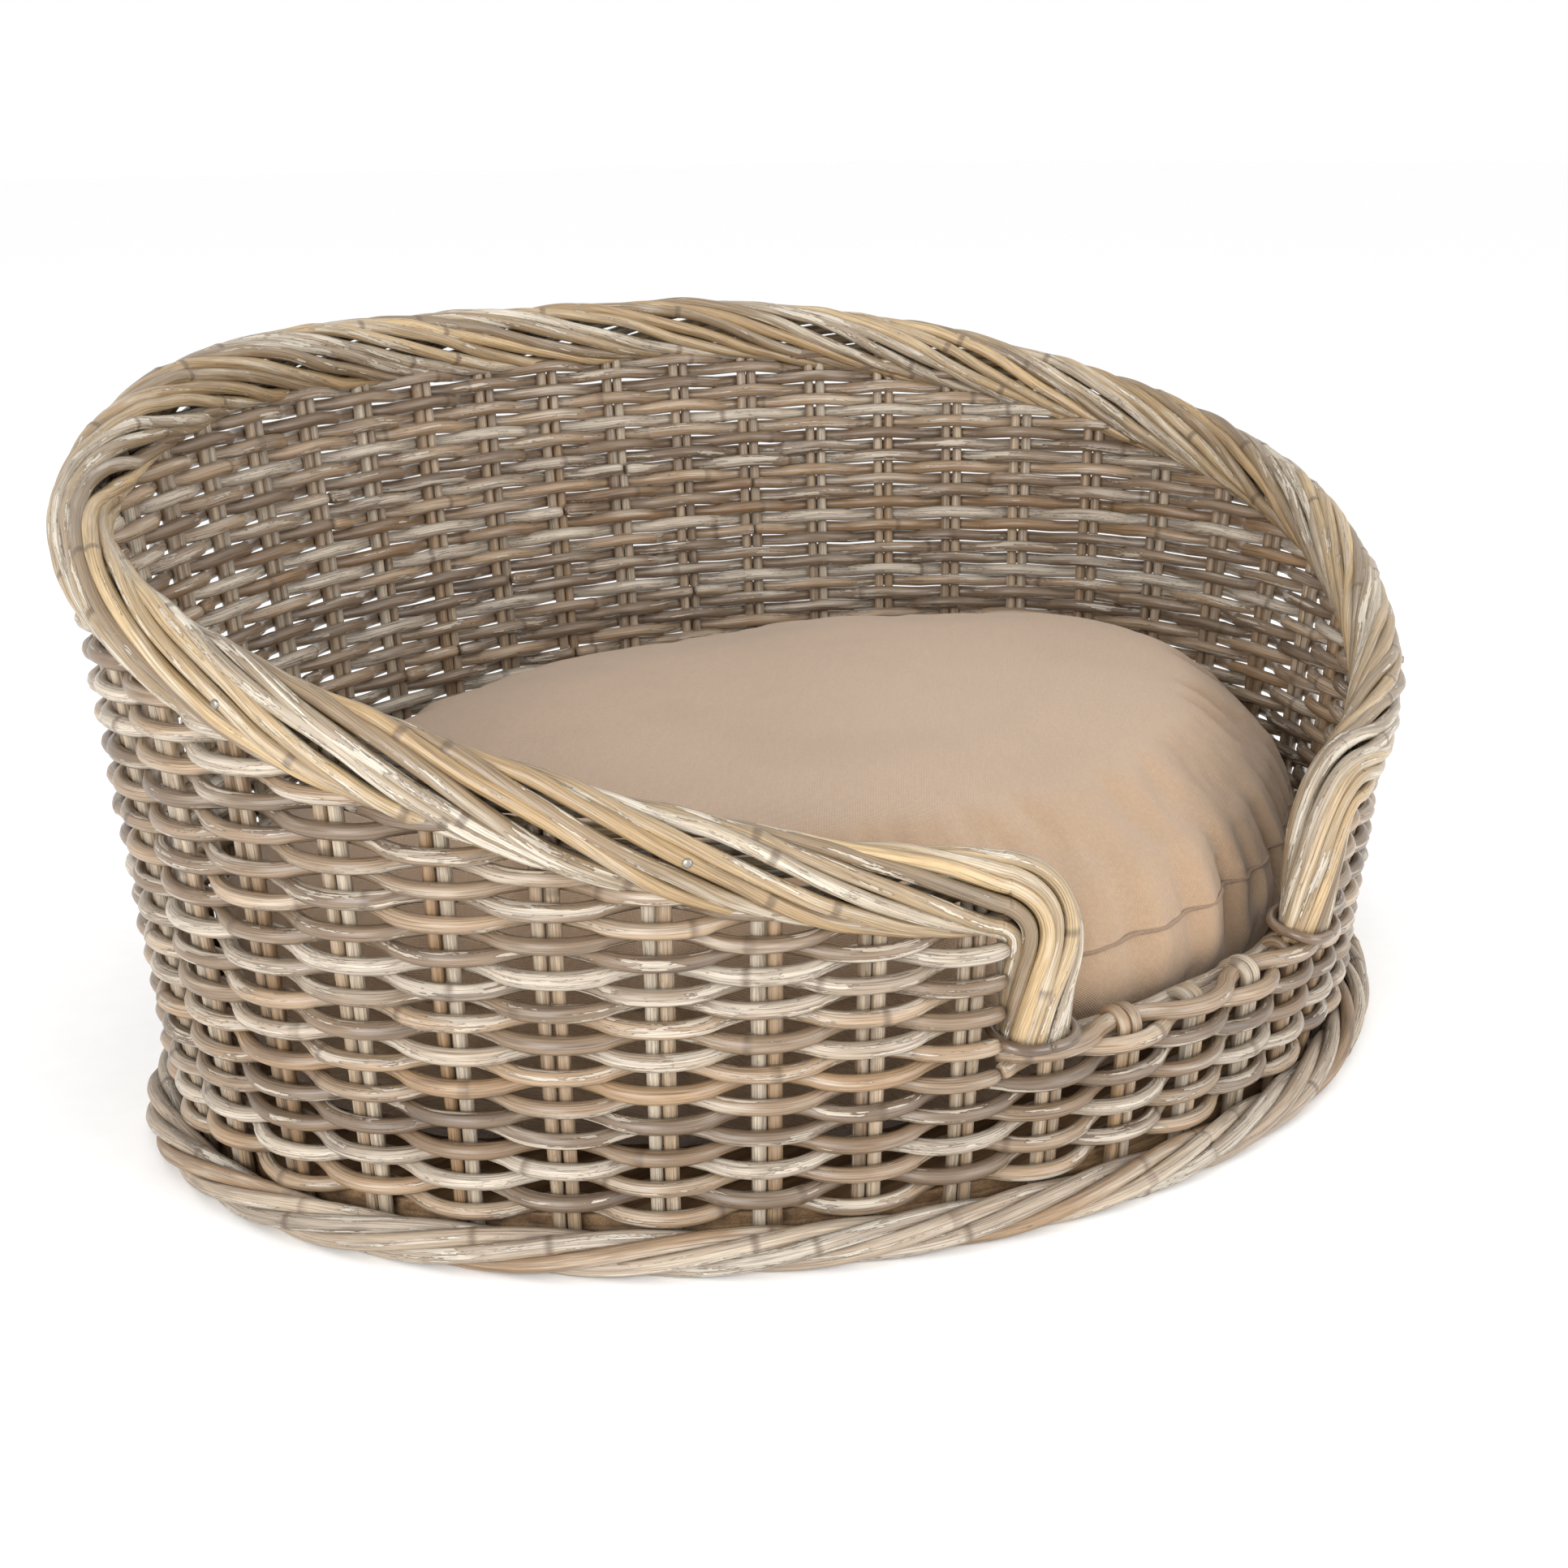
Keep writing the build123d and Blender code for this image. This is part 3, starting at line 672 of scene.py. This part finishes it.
def make_cushion():
    verts, faces = cushion_shape()
    mesh = bpy.data.meshes.new("cushion")
    mesh.from_pydata(verts.tolist(), [], faces)
    piece = bpy.data.objects.new("cushion", mesh)
    bpy.context.scene.collection.objects.link(piece)
    bpy.context.view_layer.objects.active = piece
    remesh = piece.modifiers.new("remesh", "REMESH")
    remesh.mode, remesh.voxel_size = "VOXEL", CUSHION_MESH
    bpy.ops.object.modifier_apply(modifier=remesh.name)
    start = np.array([v.co for v in piece.data.vertices])
    cloth = piece.modifiers.new("cloth", "CLOTH")
    cloth.settings.use_pressure = True
    cloth.settings.uniform_pressure_force = 4
    cloth.settings.effector_weights.gravity = 0
    cloth.settings.quality = 5
    cloth.settings.tension_stiffness = 8
    cloth.settings.bending_stiffness = 0.4
    cloth.point_cache.frame_start, cloth.point_cache.frame_end = 1, CLOTH_FRAMES
    for step in range(1, CLOTH_FRAMES + 1):
        bpy.context.scene.frame_set(step)
    shown = piece.evaluated_get(bpy.context.evaluated_depsgraph_get()).to_mesh()
    moved = np.array([v.co for v in shown.vertices])
    piece.modifiers.remove(cloth)
    bpy.context.scene.frame_set(1)
    shift = moved - start
    size = np.linalg.norm(shift, axis=1, keepdims=True)
    start = start + shift * np.minimum(1, CLOTH_REACH / np.maximum(size, 1e-9))
    co = start
    # Filled out to the width of the CAD cushion.
    for axis in (0, 1):
        ahead, low, high = co[:, axis] > 0, co[:, axis].min(), co[:, axis].max()
        co[ahead, axis] *= (COVER_HIGH[axis] - 0.003) / high
        co[~ahead, axis] *= (COVER_LOW[axis] + 0.003) / low
    # Tucks that run up and down from the seam, deepest at it.
    angle = np.arctan2(co[:, 1] / DEPTH_BACK, co[:, 0] / HALF_LENGTH)
    near = np.exp(-(((co[:, 2] - SEAM_Z) / 0.038) ** 2))
    outer = np.clip((np.hypot(co[:, 0] / HALF_LENGTH, (co[:, 1] + 0.013) / DEPTH_FRONT) - 0.62) / 0.2, 0, 1)
    tucks = np.zeros(len(co))
    for fold, deep in FOLDS:
        tucks -= 2.4 * deep * np.exp(-(((angle - fold) / 0.022) ** 2))
    for waves, phase, share in ((61, 0.4, 0.4), (97, 2.1, 0.35), (38, 4.0, 0.5), (143, 1.2, 0.2)):
        tucks += share * np.sin(waves * angle + phase + 1.3 * np.sin(7 * angle + phase))
    pull = np.exp(-(((co[:, 2] - SEAM_Z) / 0.007) ** 2)) * 0.0014
    radial = unit(np.column_stack([co[:, 0], co[:, 1] * 1.4, 0 * angle]))
    co = co + radial * (outer * (0.0034 * near * tucks - pull))[:, None]
    # Slow unevenness of the filling across the top.
    top = np.clip((co[:, 2] - 0.12) / 0.05, 0, 1)
    x, y = co[:, 0], co[:, 1]
    lumps = np.sin(11 * x + 0.7) * np.sin(13 * y + 1.9) + 0.5 * np.sin(27 * x - 19 * y)
    co[:, 2] += top * (0.0022 * lumps + CUSHION_TILT * co[:, 0])
    co[:, 2] = np.maximum(co[:, 2], COVER_LOW[2])
    piece.data.vertices.foreach_set("co", co.ravel())
    piece.data.polygons.foreach_set("use_smooth", [True] * len(piece.data.polygons))
    piece.data.update()
    smooth = piece.modifiers.new("smooth", "SMOOTH")
    smooth.iterations, smooth.factor = 2, 0.5
    bpy.ops.object.modifier_apply(modifier=smooth.name)
    split = piece.modifiers.new("split", "SUBSURF")
    split.levels = split.render_levels = 1
    bpy.ops.object.modifier_apply(modifier=split.name)
    sink_placket(piece.data)
    piece.data.materials.clear()
    piece.data.materials.append(CLOTH)
    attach(piece, "cushion")
    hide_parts("cushion_cover", "cushion_filling")
    return piece


def make_seam(cushion):
    """The seam that runs round the cushion, laid on its own surface."""
    co = np.array([v.co for v in cushion.data.vertices])
    ring = co[np.abs(co[:, 2] - SEAM_Z) < 0.0035]
    angle = np.arctan2(ring[:, 1], ring[:, 0])
    reach = np.hypot(ring[:, 0], ring[:, 1])
    order = np.argsort(angle)
    places = np.linspace(-pi, pi, 700)
    wide = np.concatenate([angle[order] - 2 * pi, angle[order], angle[order] + 2 * pi])
    far = np.interp(places, wide, np.tile(reach[order], 3))
    far = np.convolve(np.pad(far, 2, mode="wrap"), np.ones(5) / 5, mode="valid") + 0.0004
    far[-1] = far[0]
    z = SEAM_Z + 0.0010 * np.sin(5 * places) + 0.0004 * np.sin(23 * places)
    points = np.column_stack([far * np.cos(places), far * np.sin(places), z])
    normals = np.column_stack([np.cos(places), np.sin(places), 0 * places])
    rods = Rods("cushion_seam", sides=8)
    rods.add(points, normals, SEAM_R, knots=0, rough=0.05)
    rods.build(PIPING, [], body="cushion")


# ---- Stage ----
def make_stage():
    size = 30.0
    mesh = bpy.data.meshes.new("floor")
    corners = [(-size, -size, 0), (size, -size, 0), (size, size, 0), (-size, size, 0)]
    mesh.from_pydata(corners, [], [(0, 1, 2, 3)])
    floor = bpy.data.objects.new("floor", mesh)
    bpy.context.scene.collection.objects.link(floor)
    g = Graph("pale_floor")
    speck = g.noise(g.place(), 40.0)
    colour = g.mix(g.ramp(speck, 0.3, 0.7), srgb(253, 253, 253), srgb(255, 255, 255))
    mesh.materials.append(g.finish(colour, 0.9, g.bump(speck, 0.0001, 0.1)))
    world = bpy.data.worlds.new("studio")
    bpy.context.scene.world = world
    world.use_nodes = True
    world.node_tree.nodes["Background"].inputs[0].default_value = (1, 1, 1, 1)
    world.node_tree.nodes["Background"].inputs[1].default_value = 1.0
    for name, place, size, power in (
        ("left", (-2.7, -1.3, 0.9), 1.8, 75),
        ("front", (0.7, -2.8, 0.9), 1.8, 42),
        ("side", (2.2, -1.2, 2.4), 2.0, 12),
    ):
        light = bpy.data.lights.new(name, "AREA")
        light.energy, light.size = power, size
        lamp = bpy.data.objects.new(name, light)
        lamp.location = place
        lamp.rotation_euler = (Vector((0, 0, 0.15)) - Vector(place)).to_track_quat("-Z", "Y").to_euler()
        bpy.context.scene.collection.objects.link(lamp)


PICTURE_PX, FOCAL_PX = 1932, 2641.77


def make_camera():
    """The photograph's view, from a fit to the bed's outline and rows."""
    azimuth, elevation, roll = radians(-41.09), radians(16.94), radians(-0.559)
    target, distance = Vector((-0.0029, 0.0010, 0.1429)), 1.3728
    back = Vector((sin(azimuth) * cos(elevation), -cos(azimuth) * cos(elevation), sin(elevation)))
    right = (-back).cross(Vector((0, 0, 1))).normalized()
    up = right.cross(-back)
    right, up = right * cos(roll) + up * sin(roll), up * cos(roll) - right * sin(roll)
    data = bpy.data.cameras.new("camera")
    data.sensor_width = 36.0
    data.lens = FOCAL_PX / PICTURE_PX * 36.0
    data.shift_x, data.shift_y = 0.69 / PICTURE_PX, 2.78 / PICTURE_PX
    data.clip_start, data.clip_end = 0.01, 100
    camera = bpy.data.objects.new("camera", data)
    turn = Matrix((right, up, back)).transposed().to_4x4()
    camera.matrix_world = Matrix.Translation(target + back * distance) @ turn
    bpy.context.scene.collection.objects.link(camera)
    bpy.context.scene.camera = camera


make_wall()
make_stakes()
make_sill()
make_nails(*make_rim())
make_bindings()
make_foot()
make_seam(make_cushion())

WOOD = plank_wood("base_wood")
ZIP_CLOTH = twill("zip_tape", srgb(150, 118, 88), srgb(104, 80, 58), 900.0)
ZIP_METAL = metal("zip_metal", srgb(176, 160, 128), 0.28)
for node, material in (
    ("base_board", WOOD),
    ("base_hoop", WOOD),
    ("zip_tape", ZIP_CLOTH),
    ("zip_slider", ZIP_METAL),
    ("zip_puller", ZIP_METAL),
):
    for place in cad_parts[node].material_slots:
        place.material = material

make_stage()
make_camera()
bpy.context.scene.view_settings.view_transform = "Standard"
